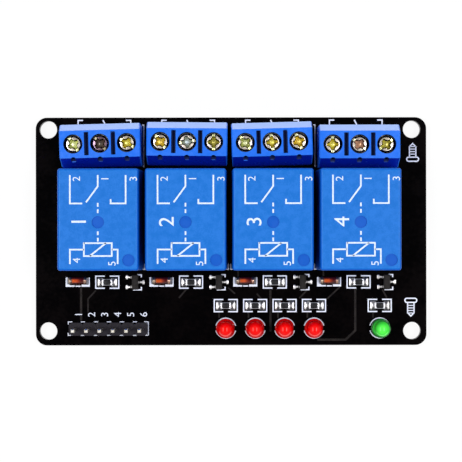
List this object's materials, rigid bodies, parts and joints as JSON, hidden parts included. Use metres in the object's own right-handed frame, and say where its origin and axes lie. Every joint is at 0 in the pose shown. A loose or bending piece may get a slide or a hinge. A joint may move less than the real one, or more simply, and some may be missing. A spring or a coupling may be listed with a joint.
{
  "type": "relay module board",
  "caption": "Black circuit board with a row of sealed blue relays, screw terminal blocks along one long edge, and a pin header, indicator lamps and small parts along the other.",
  "frame": {"origin": "middle of the four mounting holes, on the underside of the board", "axes": "+X along the board's long side, +Y towards the screw terminals, +Z out of the board's component side"},
  "size_m": [0.0762, 0.0444, 0.0181],
  "materials": {
    "board_laminate": "satin",
    "solder": "satin",
    "terminal_blue": "satin",
    "tinned_contact": "satin",
    "cage_metal": "satin",
    "yellow_zinc_screw": "satin",
    "brown_zinc_screw": "satin",
    "relay_blue": "satin",
    "relay_base_plastic": "matte",
    "relay_iron": "satin",
    "armature_iron": "satin",
    "bobbin_plastic": "matte",
    "winding_copper": "gloss",
    "header_black": "matte",
    "header_pin_metal": "satin",
    "led_red": "gloss",
    "led_green": "gloss",
    "led_lead_metal": "satin",
    "chip_ceramic": "satin",
    "diode_glass": "gloss",
    "transistor_plastic": "matte"
  },
  "bodies": {
    "board_assembly": {"circuit_board": "board_laminate", "pin_solder": "solder", "surface_solder": "solder", "pin_header_housing": "header_black", "pin_header_pins": "header_pin_metal", "green_led": "led_green", "led_leads": "led_lead_metal", "chip_resistors": "chip_ceramic", "glass_diodes": "diode_glass", "transistors": "transistor_plastic", "transistor_leads": "led_lead_metal", "relay_bases": "relay_base_plastic", "relay_terminals": "tinned_contact", "relay_yokes": "relay_iron", "relay_bobbins": "bobbin_plastic", "relay_windings": "winding_copper", "red_led_1": "led_red", "red_led_2": "led_red", "red_led_3": "led_red", "red_led_4": "led_red", "relay_case_1": "relay_blue", "relay_case_2": "relay_blue", "relay_case_3": "relay_blue", "relay_case_4": "relay_blue", "terminal_housing_1": "terminal_blue", "terminal_housing_2": "terminal_blue", "terminal_housing_3": "terminal_blue", "terminal_housing_4": "terminal_blue", "terminal_contacts_1": "tinned_contact", "terminal_contacts_2": "tinned_contact", "terminal_contacts_3": "tinned_contact", "terminal_contacts_4": "tinned_contact"},
    "clamp_screw_1_1": {"clamp_screw_1_1": "yellow_zinc_screw"},
    "wire_cage_1_1": {"wire_cage_1_1": "cage_metal"},
    "clamp_screw_1_2": {"clamp_screw_1_2": "brown_zinc_screw"},
    "wire_cage_1_2": {"wire_cage_1_2": "cage_metal"},
    "clamp_screw_1_3": {"clamp_screw_1_3": "yellow_zinc_screw"},
    "wire_cage_1_3": {"wire_cage_1_3": "cage_metal"},
    "relay_armature_1": {"relay_armature_1": "armature_iron"},
    "clamp_screw_2_1": {"clamp_screw_2_1": "yellow_zinc_screw"},
    "wire_cage_2_1": {"wire_cage_2_1": "cage_metal"},
    "clamp_screw_2_2": {"clamp_screw_2_2": "yellow_zinc_screw"},
    "wire_cage_2_2": {"wire_cage_2_2": "cage_metal"},
    "clamp_screw_2_3": {"clamp_screw_2_3": "yellow_zinc_screw"},
    "wire_cage_2_3": {"wire_cage_2_3": "cage_metal"},
    "relay_armature_2": {"relay_armature_2": "armature_iron"},
    "clamp_screw_3_1": {"clamp_screw_3_1": "yellow_zinc_screw"},
    "wire_cage_3_1": {"wire_cage_3_1": "cage_metal"},
    "clamp_screw_3_2": {"clamp_screw_3_2": "yellow_zinc_screw"},
    "wire_cage_3_2": {"wire_cage_3_2": "cage_metal"},
    "clamp_screw_3_3": {"clamp_screw_3_3": "yellow_zinc_screw"},
    "wire_cage_3_3": {"wire_cage_3_3": "cage_metal"},
    "relay_armature_3": {"relay_armature_3": "armature_iron"},
    "clamp_screw_4_1": {"clamp_screw_4_1": "yellow_zinc_screw"},
    "wire_cage_4_1": {"wire_cage_4_1": "cage_metal"},
    "clamp_screw_4_2": {"clamp_screw_4_2": "brown_zinc_screw"},
    "wire_cage_4_2": {"wire_cage_4_2": "cage_metal"},
    "clamp_screw_4_3": {"clamp_screw_4_3": "yellow_zinc_screw"},
    "wire_cage_4_3": {"wire_cage_4_3": "cage_metal"},
    "relay_armature_4": {"relay_armature_4": "armature_iron"}
  },
  "joints": [
    {"name": "clamp_screw_1_1_turn", "type": "hinge", "parent": "board_assembly", "child": "clamp_screw_1_1", "pos_m": [-0.02976, 0.01635, 0.0116], "axis": [0, 0, -1], "range_deg": [0, 1260]},
    {"name": "wire_cage_1_1_rise", "type": "slide", "parent": "board_assembly", "child": "wire_cage_1_1", "axis": [0, 0, 1], "range_m": [0, 0.00175]},
    {"name": "clamp_screw_1_2_turn", "type": "hinge", "parent": "board_assembly", "child": "clamp_screw_1_2", "pos_m": [-0.02468, 0.01648, 0.0116], "axis": [0, 0, -1], "range_deg": [0, 1260]},
    {"name": "wire_cage_1_2_rise", "type": "slide", "parent": "board_assembly", "child": "wire_cage_1_2", "axis": [0, 0, 1], "range_m": [0, 0.00175]},
    {"name": "clamp_screw_1_3_turn", "type": "hinge", "parent": "board_assembly", "child": "clamp_screw_1_3", "pos_m": [-0.01961, 0.01661, 0.0116], "axis": [0, 0, -1], "range_deg": [0, 1260]},
    {"name": "wire_cage_1_3_rise", "type": "slide", "parent": "board_assembly", "child": "wire_cage_1_3", "axis": [0, 0, 1], "range_m": [0, 0.00175]},
    {"name": "relay_armature_1_pull", "type": "hinge", "parent": "board_assembly", "child": "relay_armature_1", "pos_m": [-0.02464, -0.00542, 0.01263], "axis": [-1, 0, 0], "range_deg": [0, 2.8], "stiffness_Nm_per_rad": 0.03, "springref_deg": -8.59},
    {"name": "clamp_screw_2_1_turn", "type": "hinge", "parent": "board_assembly", "child": "clamp_screw_2_1", "pos_m": [-0.01324, 0.01682, 0.0116], "axis": [0, 0, -1], "range_deg": [0, 1260]},
    {"name": "wire_cage_2_1_rise", "type": "slide", "parent": "board_assembly", "child": "wire_cage_2_1", "axis": [0, 0, 1], "range_m": [0, 0.00175]},
    {"name": "clamp_screw_2_2_turn", "type": "hinge", "parent": "board_assembly", "child": "clamp_screw_2_2", "pos_m": [-0.00817, 0.01678, 0.0116], "axis": [0, 0, -1], "range_deg": [0, 1260]},
    {"name": "wire_cage_2_2_rise", "type": "slide", "parent": "board_assembly", "child": "wire_cage_2_2", "axis": [0, 0, 1], "range_m": [0, 0.00175]},
    {"name": "clamp_screw_2_3_turn", "type": "hinge", "parent": "board_assembly", "child": "clamp_screw_2_3", "pos_m": [-0.00309, 0.01674, 0.0116], "axis": [0, 0, -1], "range_deg": [0, 1260]},
    {"name": "wire_cage_2_3_rise", "type": "slide", "parent": "board_assembly", "child": "wire_cage_2_3", "axis": [0, 0, 1], "range_m": [0, 0.00175]},
    {"name": "relay_armature_2_pull", "type": "hinge", "parent": "board_assembly", "child": "relay_armature_2", "pos_m": [-0.00829, -0.00542, 0.01263], "axis": [-1, 0, 0], "range_deg": [0, 2.8], "stiffness_Nm_per_rad": 0.03, "springref_deg": -8.59},
    {"name": "clamp_screw_3_1_turn", "type": "hinge", "parent": "board_assembly", "child": "clamp_screw_3_1", "pos_m": [0.00293, 0.0166, 0.0116], "axis": [0, 0, -1], "range_deg": [0, 1260]},
    {"name": "wire_cage_3_1_rise", "type": "slide", "parent": "board_assembly", "child": "wire_cage_3_1", "axis": [0, 0, 1], "range_m": [0, 0.00175]},
    {"name": "clamp_screw_3_2_turn", "type": "hinge", "parent": "board_assembly", "child": "clamp_screw_3_2", "pos_m": [0.008, 0.01673, 0.0116], "axis": [0, 0, -1], "range_deg": [0, 1260]},
    {"name": "wire_cage_3_2_rise", "type": "slide", "parent": "board_assembly", "child": "wire_cage_3_2", "axis": [0, 0, 1], "range_m": [0, 0.00175]},
    {"name": "clamp_screw_3_3_turn", "type": "hinge", "parent": "board_assembly", "child": "clamp_screw_3_3", "pos_m": [0.01308, 0.01686, 0.0116], "axis": [0, 0, -1], "range_deg": [0, 1260]},
    {"name": "wire_cage_3_3_rise", "type": "slide", "parent": "board_assembly", "child": "wire_cage_3_3", "axis": [0, 0, 1], "range_m": [0, 0.00175]},
    {"name": "relay_armature_3_pull", "type": "hinge", "parent": "board_assembly", "child": "relay_armature_3", "pos_m": [0.00806, -0.00542, 0.01263], "axis": [-1, 0, 0], "range_deg": [0, 2.8], "stiffness_Nm_per_rad": 0.03, "springref_deg": -8.59},
    {"name": "clamp_screw_4_1_turn", "type": "hinge", "parent": "board_assembly", "child": "clamp_screw_4_1", "pos_m": [0.01955, 0.01628, 0.0116], "axis": [0, 0, -1], "range_deg": [0, 1260]},
    {"name": "wire_cage_4_1_rise", "type": "slide", "parent": "board_assembly", "child": "wire_cage_4_1", "axis": [0, 0, 1], "range_m": [0, 0.00175]},
    {"name": "clamp_screw_4_2_turn", "type": "hinge", "parent": "board_assembly", "child": "clamp_screw_4_2", "pos_m": [0.02464, 0.01628, 0.0116], "axis": [0, 0, -1], "range_deg": [0, 1260]},
    {"name": "wire_cage_4_2_rise", "type": "slide", "parent": "board_assembly", "child": "wire_cage_4_2", "axis": [0, 0, 1], "range_m": [0, 0.00175]},
    {"name": "clamp_screw_4_3_turn", "type": "hinge", "parent": "board_assembly", "child": "clamp_screw_4_3", "pos_m": [0.02971, 0.01628, 0.0116], "axis": [0, 0, -1], "range_deg": [0, 1260]},
    {"name": "wire_cage_4_3_rise", "type": "slide", "parent": "board_assembly", "child": "wire_cage_4_3", "axis": [0, 0, 1], "range_m": [0, 0.00175]},
    {"name": "relay_armature_4_pull", "type": "hinge", "parent": "board_assembly", "child": "relay_armature_4", "pos_m": [0.02441, -0.00542, 0.01263], "axis": [-1, 0, 0], "range_deg": [0, 2.8], "stiffness_Nm_per_rad": 0.03, "springref_deg": -8.59}
  ],
  "couplings": [
    {"joint": "clamp_screw_1_1_turn", "follows": "wire_cage_1_1_rise", "rad_per_m": 12566},
    {"joint": "clamp_screw_1_2_turn", "follows": "wire_cage_1_2_rise", "rad_per_m": 12566},
    {"joint": "clamp_screw_1_3_turn", "follows": "wire_cage_1_3_rise", "rad_per_m": 12566},
    {"joint": "clamp_screw_2_1_turn", "follows": "wire_cage_2_1_rise", "rad_per_m": 12566},
    {"joint": "clamp_screw_2_2_turn", "follows": "wire_cage_2_2_rise", "rad_per_m": 12566},
    {"joint": "clamp_screw_2_3_turn", "follows": "wire_cage_2_3_rise", "rad_per_m": 12566},
    {"joint": "clamp_screw_3_1_turn", "follows": "wire_cage_3_1_rise", "rad_per_m": 12566},
    {"joint": "clamp_screw_3_2_turn", "follows": "wire_cage_3_2_rise", "rad_per_m": 12566},
    {"joint": "clamp_screw_3_3_turn", "follows": "wire_cage_3_3_rise", "rad_per_m": 12566},
    {"joint": "clamp_screw_4_1_turn", "follows": "wire_cage_4_1_rise", "rad_per_m": 12566},
    {"joint": "clamp_screw_4_2_turn", "follows": "wire_cage_4_2_rise", "rad_per_m": 12566},
    {"joint": "clamp_screw_4_3_turn", "follows": "wire_cage_4_3_rise", "rad_per_m": 12566}
  ]
}
